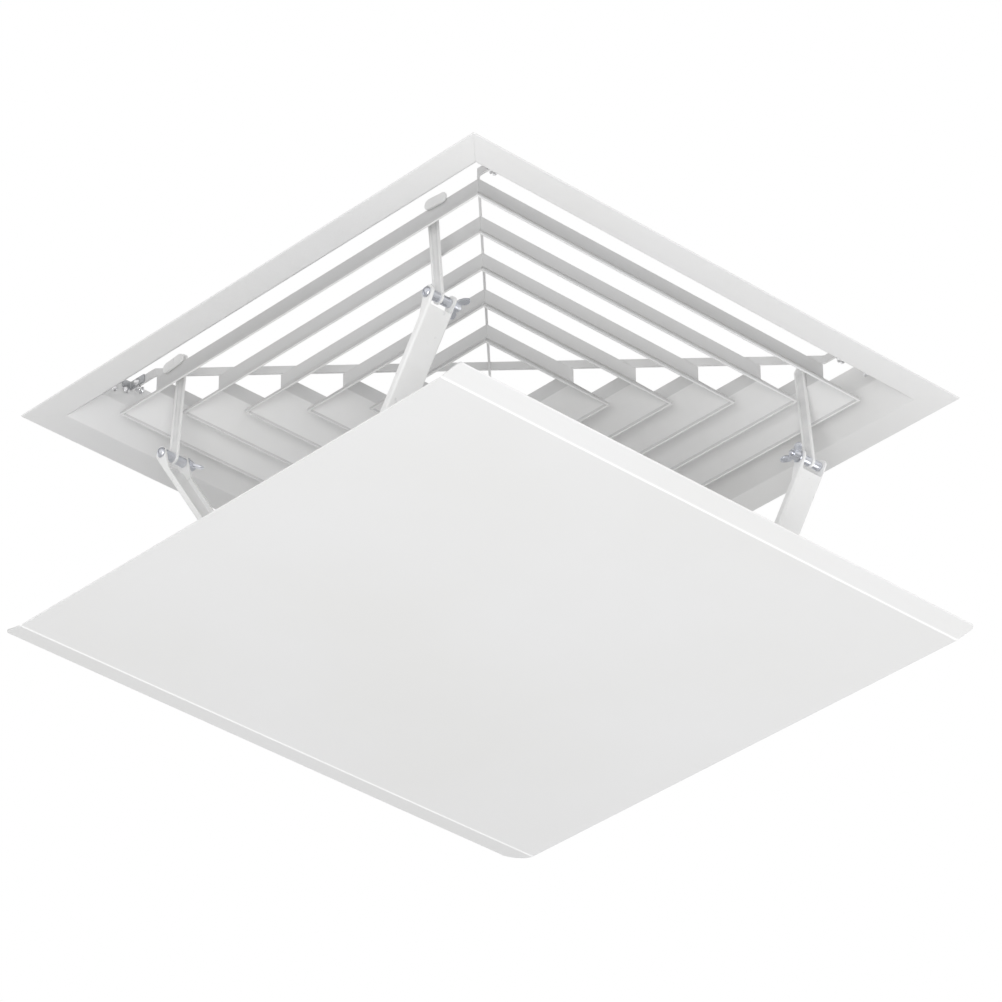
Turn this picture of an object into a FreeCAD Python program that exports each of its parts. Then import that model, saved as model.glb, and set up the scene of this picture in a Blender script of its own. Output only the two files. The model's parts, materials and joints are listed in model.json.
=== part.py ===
"""Square ceiling air diffuser with a deflector plate hung under it on four folding arms.

Row frame: +Z up, +X right, +Y back. The origin is the centre of the ceiling opening, in the
plane of the flange's back face. All sizes are in millimetres.
"""
import FreeCAD, Part
import math
import os

V = FreeCAD.Vector
ORIGIN, AXIS_X, AXIS_Y, AXIS_Z = V(0, 0, 0), V(1, 0, 0), V(0, 1, 0), V(0, 0, 1)

# Driving dimensions: frame
FACE_SIZE = 595.0            # outside of the flange, to lie in a 600 mm ceiling grid
FLANGE_WIDTH = 29.0
SHEET = 1.5                  # wall of the frame extrusion and of the deflector plate
NECK_SIZE = 494.5            # outside of the square neck that enters the duct box
NECK_TOP = 47.5
NECK_HOLE_R = 2.25           # holes for the screws into the duct box
NECK_HOLE_SPREAD = 300.0
NECK_HOLE_DROP = 12.0        # below the neck's top edge
CLEAT_LEG, CLEAT_BOTTOM, CLEAT_TOP = 24.0, 24.0, 43.0   # angles round the neck's corners
CLEAT_RIVET = 14.0           # from the neck's outer face along a leg

# Driving dimensions: vane rings and the crossed braces that carry them
RING_COUNT = 5
RING_LIP = 234.5             # half size of the first ring at its lower lip
RING_PITCH = 39.6
VANE_FLARE = 22.6            # how far the lip stands outside the upright leg
VANE_WALL = 1.2
VANE_LIP_WIDTH, VANE_LIP_HEIGHT = 2.0, 2.5
VANE_BOTTOM = -SHEET
VANE_TOP = 38.1
BRACE_WALL, BRACE_DEPTH = 2.0, 8.0
BRACE_BEND = 213.0           # where a brace turns off the diagonal, square to the neck wall
TAB_START, TAB_TOP = 226.0, 47.0                  # the taller end of a brace
CLIP_FOOT = 9.0              # leg of a clip angle along the neck wall
TAB_RIVETS = ((236.0, 42.8), (233.0, 33.9))       # along Y and up
CLIP_RIVET_X, CLIP_RIVET_Z = 220.0, 37.0          # through the neck wall
RIVET_R, RIVET_HEAD_R, RIVET_HEAD = 2.0, 3.6, 1.6

# Driving dimensions: arms
HOOK_NECK_R = 2.5            # round neck of the hook that sits over a vane's top edge
HOOK_GAP = 0.4
SIDE_PLAY = 0.5              # between a hook and the vane's two faces
STRAP_LENGTH, STRAP_WIDTH, STRAP_WALL = 100.0, 12.0, 2.0
POCKET_RIM, POCKET_DEPTH = 2.5, 0.5               # channel pressed into both faces of a strap
POCKET_TOP, POCKET_END = 16.0, 12.0               # from the hook and from the elbow
PADDLE_REACH, PADDLE_DROP, PADDLE_R = 17.0, 3.0, 5.0
LINK_LENGTH, LINK_WIDTH, LINK_WALL = 195.0, 28.0, 2.0
LINK_WEB_OFFSET = 6.5        # from the line of the two pivots to the inside of the web
LINK_EAR_R = 7.0
LINK_EDGE, LINK_TAPER, LINK_SHOULDER, LINK_BEND = 2.5, 22.0, 9.0, 1.5
SCREW_R, PIN_R = 2.5, 2.0
SCREW_HEAD_R, SCREW_HEAD, SCREW_TAIL = 5.0, 3.2, 11.0
DRIVER_SLOT, DRIVER_DEPTH = 1.2, 1.2
SLEEVE_R, WASHER_R, WASHER = 4.5, 6.0, 1.0
NUT_FACE_R, NUT_TIP_R, NUT_HUB, NUT_WING, NUT_TURN = 5.5, 4.2, 7.0, 2.0, 20.0
PIN_HEAD_R, PIN_HEAD = 3.5, 1.4
RUNNING_GAP = 0.05
SIDE_GAP = 0.3
STRAP_LEAN, LINK_LEAN = 5.0, 33.0                 # degrees off the vertical at rest
FOOT_HEIGHT = 12.0           # foot pivot above the bracket's base
FOOT_LENGTH, FOOT_BASE = 24.0, 2.0
LUG_OUT, LUG_WALL, LUG_R, LUG_FOOT = 11.3, 2.0, 5.5, 8.0
PAD = 1.0
FOOT_SLOT = 1.5              # play each way in the slotted foot brackets
# Where each hook sits along its vane: x side, y side, distance from the middle
ARMS = {
    "front_left": (-1, -1, 151.0),
    "back_left": (-1, 1, 179.0),
    "front_right": (1, -1, 185.0),
    "back_right": (1, 1, 172.0),
}

# Driving dimensions: deflector plate
PLATE_LENGTH = 616.0         # along X
PLATE_FLAT = 540.0           # along Y between the two creases
PLATE_STRIP, STRIP_RISE = 23.0, 10.0              # folded strip: width, degrees up
PLATE_CORNERS = {(-1, -1): 3.0, (-1, 1): 6.0, (1, -1): 6.0, (1, 1): 21.0}

SIDES = {"right": 0, "back": 90, "left": 180, "front": 270}
ROOT2 = math.sqrt(2)


# ---------------------------------------------------------------- helpers
def prism(points, direction):
    """Closed polygon swept along a direction."""
    return Part.Face(Part.makePolygon(points + points[:1])).extrude(direction)


def rod(radius, start, end):
    """Round bar between two points."""
    return Part.makeCylinder(radius, start.distanceToPoint(end), start, end - start)


def headed_pin(radius, head_r, head, start, end, both=True):
    """Round pin between two points with a domed head beyond its end, or beyond both ends."""
    length = start.distanceToPoint(end)

    def cap(z, rise):
        """Edges over one head, from the pin's side to its axis."""
        rim, crown = V(head_r, 0, z), V(0, 0, z + rise)
        ball = (head_r ** 2 + rise ** 2) / (2 * abs(rise))
        angle = math.asin(head_r / ball) / 2
        middle = V(ball * math.sin(angle), 0,
                   z + math.copysign(abs(rise) - ball * (1 - math.cos(angle)), rise))
        return [Part.makeLine(V(radius, 0, z), rim), Part.Arc(rim, middle, crown).toShape()]

    foot = cap(0, -head) if both else [Part.makeLine(V(radius, 0, 0), ORIGIN)]
    edges = cap(length, head) + [Part.makeLine(V(radius, 0, 0), V(radius, 0, length))] + foot
    low = -head if both else 0
    edges.append(Part.makeLine(V(0, 0, low), V(0, 0, length + head)))
    face = Part.Face(Part.Wire(Part.sortEdges(edges)[0]))
    pin = face.revolve(ORIGIN, AXIS_Z, 360)
    pin.Placement = FreeCAD.Placement(start, FreeCAD.Rotation(AXIS_Z, end - start))
    return pin


def turned(shape, degrees, axis=AXIS_Z):
    """Copy of a shape turned about an axis through the origin."""
    copy = shape.copy()
    copy.rotate(ORIGIN, axis, degrees)
    return copy


def drilled(shape, radius, centre, axis, reach=20.0):
    """Shape with a round hole through it, as deep as twice the reach."""
    return shape.cut(rod(radius, centre - axis * reach, centre + axis * reach))


def save(name, solids):
    """Write one named sub-part; a list of solids becomes one compound."""
    shape = Part.makeCompound(solids) if isinstance(solids, list) else solids
    if not shape.isValid() or not shape.Solids:
        raise ValueError("bad shape: " + name)
    shape.exportStep("parts/" + name + ".step")
    print("%-22s solids %2d  volume %10.1f" % (name, len(shape.Solids), shape.Volume))


# ---------------------------------------------------------------- frame and vanes
def mitred_bar(profile):
    """Profile of (outward, height) points run along the right-hand side, mitred at both ends."""
    reach = max(u for u, z in profile) + 1
    low, high = min(z for u, z in profile) - 1, max(z for u, z in profile) + 1
    bar = prism([V(u, -reach, z) for u, z in profile], V(0, 2 * reach, 0))
    wedge = prism([V(0, 0, low), V(reach, -reach, low), V(reach, reach, low)], V(0, 0, high - low))
    return bar.common(wedge)


def frame_profile():
    """Flat flange, a 45 degree cone rising inwards from it, and the upright neck."""
    outer, inner, neck = FACE_SIZE / 2, FACE_SIZE / 2 - FLANGE_WIDTH, NECK_SIZE / 2
    bend = SHEET * (ROOT2 - 1)
    cone_top = inner - (neck - SHEET) - SHEET
    return [(outer, -SHEET), (inner, -SHEET), (neck - SHEET, cone_top), (neck - SHEET, NECK_TOP),
            (neck, NECK_TOP), (neck, cone_top + bend), (inner + bend, 0), (outer, 0)]


def vane_profile(lip):
    """Upright leg, 45 degree flare opening outwards and down, and a small square lip."""
    leg = lip - VANE_FLARE
    outside = lip + VANE_BOTTOM + VANE_LIP_HEIGHT
    inside = outside - VANE_WALL * ROOT2
    lip_in = lip - VANE_LIP_WIDTH
    return [(lip, VANE_BOTTOM), (lip, outside - lip), (leg, outside - leg), (leg, VANE_TOP),
            (leg - VANE_WALL, VANE_TOP), (leg - VANE_WALL, inside - leg + VANE_WALL),
            (lip_in, inside - lip_in), (lip_in, VANE_BOTTOM)]


def strip(route, thickness):
    """Plan of a strip that follows a route of points, mitred where it turns."""
    left, right = [], []
    for i, point in enumerate(route):
        ways = [(b - a).normalize() for a, b in zip(route[max(i - 1, 0):], route[max(i - 1, 0) + 1:i + 2])]
        normals = [AXIS_Z.cross(way) for way in ways]
        bisector = (normals[0] + normals[-1]).normalize()
        offset = bisector * (thickness / 2 / bisector.dot(normals[0]))
        left.append(point + offset)
        right.insert(0, point - offset)
    return left + right


def rivet(centre, axis, grip):
    """Solid rivet through a grip length, domed at both ends."""
    half = axis * (grip / 2)
    return headed_pin(RIVET_R, RIVET_HEAD_R, RIVET_HEAD, centre - half, centre + half)


def build_frame():
    """Four mitred sides, with riveted angles round the outside of the neck's corners."""
    face = NECK_SIZE / 2
    bar = mitred_bar(frame_profile())
    for y in (-NECK_HOLE_SPREAD / 2, NECK_HOLE_SPREAD / 2):
        bar = drilled(bar, NECK_HOLE_R, V(face, y, NECK_TOP - NECK_HOLE_DROP), AXIS_X)
    outer, inner = face + SHEET, face + SHEET - CLEAT_LEG
    angle = Part.makeBox(CLEAT_LEG, CLEAT_LEG, CLEAT_TOP - CLEAT_BOTTOM, V(inner, inner, CLEAT_BOTTOM))
    angle = angle.cut(Part.makeBox(face, face, NECK_TOP, V(0, 0, 0)))
    rivet_at, rivet_z = face - CLEAT_RIVET, (CLEAT_TOP + CLEAT_BOTTOM) / 2
    rivets = []
    for y in (-rivet_at, rivet_at):
        bar = drilled(bar, RIVET_R, V(face, y, rivet_z), AXIS_X)
    for centre, axis in ((V(face, rivet_at, rivet_z), AXIS_X), (V(rivet_at, face, rivet_z), AXIS_Y)):
        angle = drilled(angle, RIVET_R, centre, axis)
        rivets += [turned(rivet(centre, axis, 2 * SHEET), a) for a in SIDES.values()]
    clipped = bar
    for y in (-CLIP_RIVET_X, CLIP_RIVET_X):
        clipped = drilled(clipped, RIVET_R, V(face, y, CLIP_RIVET_Z), AXIS_X)
    for side, degrees in SIDES.items():
        save("frame_side_" + side, turned(clipped if side in ("back", "front") else bar, degrees))
    save("corner_cleats", [turned(angle, a) for a in SIDES.values()])
    save("cleat_rivets", rivets)


def build_braces():
    """Two half-lapped braces; each bent end is riveted to a clip angle on the neck wall."""
    under, wall = VANE_TOP - BRACE_DEPTH, NECK_SIZE / 2 - SHEET
    end = wall - SHEET
    route = [V(-BRACE_BEND, -end, under), V(-BRACE_BEND, -BRACE_BEND, under),
             V(BRACE_BEND, BRACE_BEND, under), V(BRACE_BEND, end, under)]
    bar = prism(strip(route, BRACE_WALL), V(0, 0, BRACE_DEPTH))
    face_x = BRACE_BEND + BRACE_WALL / 2
    height = TAB_TOP - under
    tab = Part.makeBox(BRACE_WALL, end - TAB_START, height, V(face_x - BRACE_WALL, TAB_START, under))
    clip = Part.makeBox(SHEET, wall - TAB_START, height, V(face_x, TAB_START, under)).fuse(
        Part.makeBox(CLIP_FOOT, SHEET, height, V(face_x + SHEET, end, under))).removeSplitter()
    bar = bar.fuse([tab, turned(tab, 180)]).removeSplitter()
    rivets = []
    for y, z in TAB_RIVETS:
        spot = V(face_x, y, z)
        clip = drilled(clip, RIVET_R, spot, AXIS_X, BRACE_WALL + SHEET)
        for centre in (spot, V(-face_x, -y, z)):
            bar = drilled(bar, RIVET_R, centre, AXIS_X)
        middle = V(face_x - BRACE_WALL / 2 + SHEET / 2, y, z)
        rivets.append(rivet(middle, AXIS_X, BRACE_WALL + SHEET))
    spot = V(CLIP_RIVET_X, wall, CLIP_RIVET_Z)
    clip = drilled(clip, RIVET_R, spot, AXIS_Y)
    rivets.append(rivet(spot, AXIS_Y, 2 * SHEET))
    lap = Part.makeBox(BRACE_WALL, 4 * BRACE_WALL, BRACE_DEPTH, V(-BRACE_WALL / 2, -2 * BRACE_WALL, 0))
    lap = turned(lap, 45).translated(V(0, 0, VANE_TOP - BRACE_DEPTH / 2))
    save("brace_under", bar.cut(lap))
    lap.translate(V(0, 0, -BRACE_DEPTH))
    save("brace_over", bar.cut(lap).mirror(ORIGIN, AXIS_X))
    save("brace_clips", quarters(clip))
    save("brace_rivets", [copy for r in rivets for copy in quarters(r)])


def quarters(shape):
    """The same shape at all four corners, each a mirror image of its neighbours."""
    flipped = shape.mirror(ORIGIN, AXIS_X)
    return [shape, flipped, turned(shape, 180), turned(flipped, 180)]


def build_vanes():
    """Five square rings, each of four mitred blades notched where the braces pass."""
    reach = 2 * RING_LIP
    notch = Part.makeBox(2 * reach, BRACE_WALL, 2 * BRACE_DEPTH,
                         V(-reach, -BRACE_WALL / 2, VANE_TOP - BRACE_DEPTH))
    for ring in range(RING_COUNT):
        blade = mitred_bar(vane_profile(RING_LIP - ring * RING_PITCH))
        blade = blade.cut([turned(notch, 45), turned(notch, 135)])
        for side, degrees in SIDES.items():
            save("vane_%d_%s" % (ring + 1, side), turned(blade, degrees))


# ---------------------------------------------------------------- arms
# An arm is drawn for the right-hand vane with its outward side at +Y, then mirrored.
WALL_IN = RING_LIP - VANE_FLARE - VANE_WALL       # inner face of the first ring's upright leg
STRAP_X = WALL_IN - SIDE_PLAY - STRAP_WALL / 2    # middle of the strap's thickness
PADDLE_X = WALL_IN + VANE_WALL + SIDE_PLAY + STRAP_WALL / 2
HOOK_Z = VANE_TOP + HOOK_GAP + HOOK_NECK_R
EAR_IN = LINK_WIDTH / 2 - LINK_WALL               # from the strap's middle to an ear
NUT_X = STRAP_X - LINK_WIDTH / 2 - 2 * SIDE_GAP - WASHER


def plate_x(face, thickness, middle):
    """Flat plate square to X, centred on a station along X."""
    return face.extrude(V(thickness, 0, 0)).translated(V(middle - thickness / 2, 0, 0))


def disc(radius, y, z):
    return Part.Face(Part.Wire(Part.makeCircle(radius, V(0, y, z), AXIS_X)))


def ribbon(radius, start, end):
    """Flat stadium between two (y, z) points, in the plane x = 0."""
    a, b = V(0, *start), V(0, *end)
    across = (b - a).cross(AXIS_X).normalize() * radius
    body = Part.Face(Part.makePolygon([a + across, b + across, b - across, a - across, a + across]))
    return body.fuse([disc(radius, *start), disc(radius, *end)]).removeSplitter().Faces[0]


def hook_strap():
    """Flat strap whose top turns over the vane's edge and ends in a rounded paddle."""
    inner = plate_x(ribbon(STRAP_WIDTH / 2, (0, 0), (0, -STRAP_LENGTH)), STRAP_WALL, STRAP_X)
    pocket = ribbon(STRAP_WIDTH / 2 - POCKET_RIM, (0, -POCKET_TOP), (0, POCKET_END - STRAP_LENGTH))
    for side in (-1, 1):
        inner = inner.cut(plate_x(pocket, 2 * POCKET_DEPTH, STRAP_X + side * STRAP_WALL / 2))
    outer = plate_x(ribbon(PADDLE_R, (0, 0), (PADDLE_REACH, -PADDLE_DROP)), STRAP_WALL, PADDLE_X)
    neck = rod(HOOK_NECK_R, V(STRAP_X, 0, 0), V(PADDLE_X, 0, 0))
    return drilled(inner.fuse([outer, neck]), SCREW_R, V(STRAP_X, 0, -STRAP_LENGTH), AXIS_X)


def link():
    """Pressed channel: a wide web with a flange along each edge, rounded into an ear at both ends."""
    back, ear_r, end = LINK_WEB_OFFSET + LINK_WALL, LINK_EAR_R, -LINK_LENGTH
    ear = Part.Face(Part.Wire([
        Part.Arc(V(0, -ear_r, 0), V(0, 0, ear_r), V(0, ear_r, 0)).toShape(),
        Part.makeLine(V(0, ear_r, 0), V(0, back, -LINK_SHOULDER)),
        Part.makeLine(V(0, back, -LINK_SHOULDER), V(0, back, end + LINK_SHOULDER)),
        Part.makeLine(V(0, back, end + LINK_SHOULDER), V(0, ear_r, end)),
        Part.Arc(V(0, ear_r, end), V(0, 0, end - ear_r), V(0, -ear_r, end)).toShape(),
        Part.makeLine(V(0, -ear_r, end), V(0, LINK_EDGE, end + LINK_TAPER)),
        Part.makeLine(V(0, LINK_EDGE, end + LINK_TAPER), V(0, LINK_EDGE, -LINK_TAPER)),
        Part.makeLine(V(0, LINK_EDGE, -LINK_TAPER), V(0, -ear_r, 0))]))
    middle = LINK_WIDTH / 2 - LINK_WALL / 2
    ears = [plate_x(ear, LINK_WALL, STRAP_X + side * middle) for side in (-1, 1)]
    web = Part.makeBox(LINK_WIDTH, LINK_WALL, LINK_LENGTH - 2 * LINK_SHOULDER,
                       V(STRAP_X - LINK_WIDTH / 2, LINK_WEB_OFFSET, end + LINK_SHOULDER))
    body = web.fuse(ears).removeSplitter()
    bends = [e for e in body.Edges
             if e.Length > LINK_LENGTH / 2 and abs(e.CenterOfMass.y - back) < RUNNING_GAP]
    body = body.makeFillet(LINK_BEND, bends)
    body = drilled(body, SCREW_R + RUNNING_GAP, V(STRAP_X, 0, 0), AXIS_X)
    return drilled(body, PIN_R, V(STRAP_X, 0, end), AXIS_X)


def elbow_screw():
    """Round-headed slotted screw, its head on the outer ear."""
    head = STRAP_X + LINK_WIDTH / 2 + SIDE_GAP
    tail = V(STRAP_X - LINK_WIDTH / 2 - SCREW_TAIL, 0, 0)
    screw = headed_pin(SCREW_R, SCREW_HEAD_R, SCREW_HEAD, tail, V(head, 0, 0), both=False)
    floor = head + SCREW_HEAD - DRIVER_DEPTH
    return screw.cut(Part.makeBox(SCREW_HEAD, DRIVER_SLOT, 3 * SCREW_HEAD_R,
                                  V(floor, -DRIVER_SLOT / 2, -1.5 * SCREW_HEAD_R)))


def elbow_spacers():
    """Sleeves that keep the strap in the middle of the link, and the washer under the wing nut."""
    half = STRAP_WALL / 2
    spans = ((STRAP_X - EAR_IN + SIDE_GAP, STRAP_X - half, SLEEVE_R),
             (STRAP_X + half, STRAP_X + EAR_IN - SIDE_GAP, SLEEVE_R),
             (NUT_X + SIDE_GAP, NUT_X + SIDE_GAP + WASHER, WASHER_R))
    return [drilled(rod(r, V(a, 0, 0), V(b, 0, 0)), SCREW_R, V(a, 0, 0), AXIS_X) for a, b, r in spans]


def wing_nut():
    """Tapered hub with two upswept rounded wings."""
    face, low = NUT_X, -NUT_WING / 2
    hub = Part.makeCone(NUT_FACE_R, NUT_TIP_R, NUT_HUB, V(face, 0, 0), V(-1, 0, 0))
    wing = Part.Face(Part.Wire([
        Part.makeLine(V(face - 1, 2, low), V(face - 1, 5, low)),
        Part.Arc(V(face - 1, 5, low), V(face - 4.5, 9.5, low), V(face - 7, 13, low)).toShape(),
        Part.Arc(V(face - 7, 13, low), V(face - 11.5, 12.2, low), V(face - 10, 7.5, low)).toShape(),
        Part.makeLine(V(face - 10, 7.5, low), V(face - 6, 2, low)),
        Part.makeLine(V(face - 6, 2, low), V(face - 1, 2, low))])).extrude(V(0, 0, NUT_WING))
    nut = hub.fuse([wing, wing.mirror(ORIGIN, AXIS_Y)])
    return drilled(nut, SCREW_R + RUNNING_GAP, V(face, 0, 0), AXIS_X).removeSplitter()


def foot_pin():
    """Pin through both ears, headed at each end."""
    half, middle = V(LINK_WIDTH / 2, 0, 0), V(STRAP_X, 0, 0)
    return headed_pin(PIN_R, PIN_HEAD_R, PIN_HEAD, middle - half, middle + half)


def foot_plate(low, thickness):
    """Rectangle under a foot pivot, from a height below it upwards."""
    return Part.makeBox(2 * LUG_OUT, FOOT_LENGTH, thickness,
                        V(STRAP_X - LUG_OUT, -FOOT_LENGTH / 2, low))


def foot_bracket(slotted):
    """Base with two upright lugs; the lug holes are round, or short level slots."""
    lug = Part.Face(Part.Wire([
        Part.Arc(V(0, -LUG_R, 0), V(0, 0, LUG_R), V(0, LUG_R, 0)).toShape(),
        Part.makeLine(V(0, LUG_R, 0), V(0, LUG_FOOT, -FOOT_HEIGHT)),
        Part.makeLine(V(0, LUG_FOOT, -FOOT_HEIGHT), V(0, -LUG_FOOT, -FOOT_HEIGHT)),
        Part.makeLine(V(0, -LUG_FOOT, -FOOT_HEIGHT), V(0, -LUG_R, 0))]))
    lugs = [plate_x(lug, LUG_WALL, STRAP_X + side * (LUG_OUT - LUG_WALL / 2)) for side in (-1, 1)]
    bracket = foot_plate(-FOOT_HEIGHT, FOOT_BASE).fuse(lugs)
    if slotted:
        slot = ribbon(PIN_R + RUNNING_GAP, (-FOOT_SLOT, 0), (FOOT_SLOT, 0))
        bracket = bracket.cut(plate_x(slot, 4 * LUG_OUT, STRAP_X))
    else:
        bracket = drilled(bracket, PIN_R + RUNNING_GAP, V(STRAP_X, 0, 0), AXIS_X)
    return bracket.removeSplitter()


def arm_points(hook_y):
    """Hook, elbow and foot pivots of an arm whose outward side is +Y."""
    lean, fold = math.radians(STRAP_LEAN), math.radians(LINK_LEAN)
    hook = V(0, hook_y, HOOK_Z)
    elbow = hook + V(0, math.sin(lean), -math.cos(lean)) * STRAP_LENGTH
    foot = elbow + V(0, -math.sin(fold), -math.cos(fold)) * LINK_LENGTH
    return hook, elbow, foot


def build_arms():
    pads = []
    for name, (side_x, side_y, hook_y) in ARMS.items():
        hook, elbow, foot = arm_points(hook_y)

        def place(shape, point, lean=0.0):
            """Lean about the pivot, move to its place, and mirror to the arm's own quarter."""
            moved = turned(shape, lean, AXIS_X).translated(point)
            moved = moved.mirror(ORIGIN, AXIS_X) if side_x < 0 else moved
            return moved.mirror(ORIGIN, AXIS_Y) if side_y < 0 else moved

        pads.append(place(foot_plate(-FOOT_HEIGHT - PAD, PAD), foot))
        save("hook_strap_" + name, place(hook_strap(), hook, STRAP_LEAN))
        save("elbow_screw_" + name, place(elbow_screw(), elbow))
        save("elbow_spacers_" + name, [place(s, elbow) for s in elbow_spacers()])
        save("wing_nut_" + name, place(wing_nut(), elbow, NUT_TURN))
        save("arm_link_" + name, place(link(), elbow, -LINK_LEAN))
        save("foot_pin_" + name, place(foot_pin(), foot))
        save("foot_bracket_" + name, place(foot_bracket(name != "back_left"), foot))
    save("foot_pads", pads)


# ---------------------------------------------------------------- deflector plate
def build_plate():
    """Flat sheet with a slightly raised folded strip along its front and back edges."""
    top = arm_points(0)[2].z - FOOT_HEIGHT - PAD
    rise = math.radians(STRIP_RISE)
    flat = PLATE_FLAT / 2
    edge_y, edge_z = flat + PLATE_STRIP * math.cos(rise), PLATE_STRIP * math.sin(rise)
    skew = SHEET * math.tan(rise / 2)
    half = [(flat + skew, -SHEET), (edge_y + SHEET * math.sin(rise), edge_z - SHEET * math.cos(rise)),
            (edge_y, edge_z), (flat, 0)]
    section = half + [(-y, z) for y, z in reversed(half)]
    sheet = prism([V(-PLATE_LENGTH / 2, y, z + top) for y, z in section], V(PLATE_LENGTH, 0, 0))
    width, deep = 2 * (edge_y + SHEET), 2 * PLATE_STRIP
    blank = Part.makeBox(PLATE_LENGTH, width, deep, V(-PLATE_LENGTH / 2, -width / 2, top - PLATE_STRIP))
    for (side_x, side_y), radius in PLATE_CORNERS.items():
        spot = V(side_x * PLATE_LENGTH / 2, side_y * width / 2, top)
        upright = [e for e in blank.Edges if e.CenterOfMass.distanceToPoint(spot) < SHEET]
        blank = blank.makeFillet(radius, upright)
    save("deflector_plate", sheet.common(blank))


os.makedirs("parts", exist_ok=True)
build_frame()
build_braces()
build_vanes()
build_arms()
build_plate()
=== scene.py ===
import json
import math

import bmesh
import bpy
from mathutils import Matrix, Vector


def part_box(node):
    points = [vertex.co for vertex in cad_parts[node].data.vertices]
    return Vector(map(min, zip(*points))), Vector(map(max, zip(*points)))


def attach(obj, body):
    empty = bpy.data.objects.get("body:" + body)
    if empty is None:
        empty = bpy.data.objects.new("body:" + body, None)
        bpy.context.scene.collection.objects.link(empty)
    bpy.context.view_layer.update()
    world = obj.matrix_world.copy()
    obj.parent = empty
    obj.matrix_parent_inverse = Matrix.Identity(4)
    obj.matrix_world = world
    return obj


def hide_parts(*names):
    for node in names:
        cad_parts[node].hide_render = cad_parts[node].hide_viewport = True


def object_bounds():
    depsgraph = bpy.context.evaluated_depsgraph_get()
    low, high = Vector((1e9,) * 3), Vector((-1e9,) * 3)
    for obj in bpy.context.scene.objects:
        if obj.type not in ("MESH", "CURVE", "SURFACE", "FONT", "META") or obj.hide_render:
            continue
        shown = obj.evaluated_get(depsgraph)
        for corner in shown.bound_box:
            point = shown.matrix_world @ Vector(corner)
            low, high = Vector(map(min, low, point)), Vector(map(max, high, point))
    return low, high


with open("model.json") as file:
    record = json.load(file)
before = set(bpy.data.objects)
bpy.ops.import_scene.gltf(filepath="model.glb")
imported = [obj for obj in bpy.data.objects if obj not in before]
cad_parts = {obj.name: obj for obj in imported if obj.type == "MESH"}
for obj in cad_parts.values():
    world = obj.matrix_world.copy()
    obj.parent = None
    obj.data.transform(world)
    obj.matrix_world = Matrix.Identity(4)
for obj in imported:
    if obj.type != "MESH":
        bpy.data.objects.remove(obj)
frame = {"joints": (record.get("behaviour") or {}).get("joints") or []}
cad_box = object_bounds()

# ------------------------------------------------------------------ frame
# Four lengths of extruded aluminium, mitred and closed into a square: a flat flange that shows
# below the ceiling, a cone rising inwards from it, and an upright neck for the duct box.
# The whole frame is powder-coated satin white after it is joined.
MM = 0.001
QUARTERS = {"right": 0, "back": 90, "left": 180, "front": 270}


def rounded(outline, radii):
    """Closed outline with each corner turned to an arc; a radius of 0 stays sharp."""
    out = []
    for i, (corner, radius) in enumerate(zip(outline, radii)):
        corner = Vector(corner)
        back, ahead = Vector(outline[i - 1]) - corner, Vector(outline[(i + 1) % len(outline)]) - corner
        if radius <= 0:
            out.append(corner)
            continue
        half = back.angle(ahead) / 2
        reach = min(radius / math.tan(half), 0.48 * back.length, 0.48 * ahead.length)
        back, ahead = back.normalized(), ahead.normalized()
        centre = corner + (back + ahead).normalized() * (reach / math.cos(half))
        start, end = corner + back * reach - centre, corner + ahead * reach - centre
        first = math.atan2(start.y, start.x)
        sweep = (math.atan2(end.y, end.x) - first + math.pi) % math.tau - math.pi
        steps = max(2, math.ceil(abs(sweep) / math.radians(16)))
        for k in range(steps + 1):
            angle = first + sweep * k / steps
            out.append(centre + start.length * Vector((math.cos(angle), math.sin(angle))))
    return out


def piece_of(name, work, sharp=35):
    """Turn a bmesh into a shown piece with outward faces, smooth except over its sharp edges."""
    bmesh.ops.remove_doubles(work, verts=work.verts, dist=1e-7)
    bmesh.ops.recalc_face_normals(work, faces=work.faces)
    mesh = bpy.data.meshes.new(name)
    work.to_mesh(mesh)
    work.free()
    mesh.shade_smooth()
    mesh.set_sharp_from_angle(angle=math.radians(sharp))
    piece = bpy.data.objects.new(name, mesh)
    bpy.context.scene.collection.objects.link(piece)
    return piece


def skin(rings, closed=True):
    """Quads between successive rings of points, with both ends closed when asked."""
    work = bmesh.new()
    rows = [[work.verts.new(p) for p in ring] for ring in rings]
    for low, high in zip(rows, rows[1:]):
        for a, b, c, d in zip(low, low[1:] + low[:1], high[1:] + high[:1], high):
            work.faces.new((a, b, c, d))
    if closed:
        work.faces.new(rows[0])
        work.faces.new(rows[-1][::-1])
    return work


def turn(piece, degrees):
    """Turn a piece's mesh about the diffuser's upright axis."""
    piece.data.transform(Matrix.Rotation(math.radians(degrees), 4, "Z"))
    return piece


def mitred(name, outline, degrees):
    """One side of a square: an outline of (outward, height) run between two mitres."""
    joint_gap = 0.06 * MM
    ends = [[Vector((u, s * (u - joint_gap), z)) for u, z in outline] for s in (-1, 1)]
    return turn(piece_of(name, skin(ends)), degrees)


def carve(piece, tool, operation="DIFFERENCE"):
    """Cut a piece with a tool, or join the two, and keep the plain mesh; the tool is used up."""
    step = piece.modifiers.new("carve", "BOOLEAN")
    step.operation, step.object, step.solver = operation, tool, "EXACT"
    bpy.context.view_layer.update()
    shaped = bpy.data.meshes.new_from_object(piece.evaluated_get(bpy.context.evaluated_depsgraph_get()))
    piece.modifiers.clear()
    piece.data = shaped
    bpy.data.objects.remove(tool)
    return piece


def lathe(name, profile, hollow=False, steps=40):
    """Round piece turned about X from (along, radius) points in millimetres."""
    rings = [[Vector((x, r * math.cos(a), r * math.sin(a))) * MM
              for a in (math.tau * k / steps for k in range(steps))] for x, r in profile]
    return piece_of(name, skin(rings + rings[:1] if hollow else rings, closed=not hollow), 40)


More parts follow.
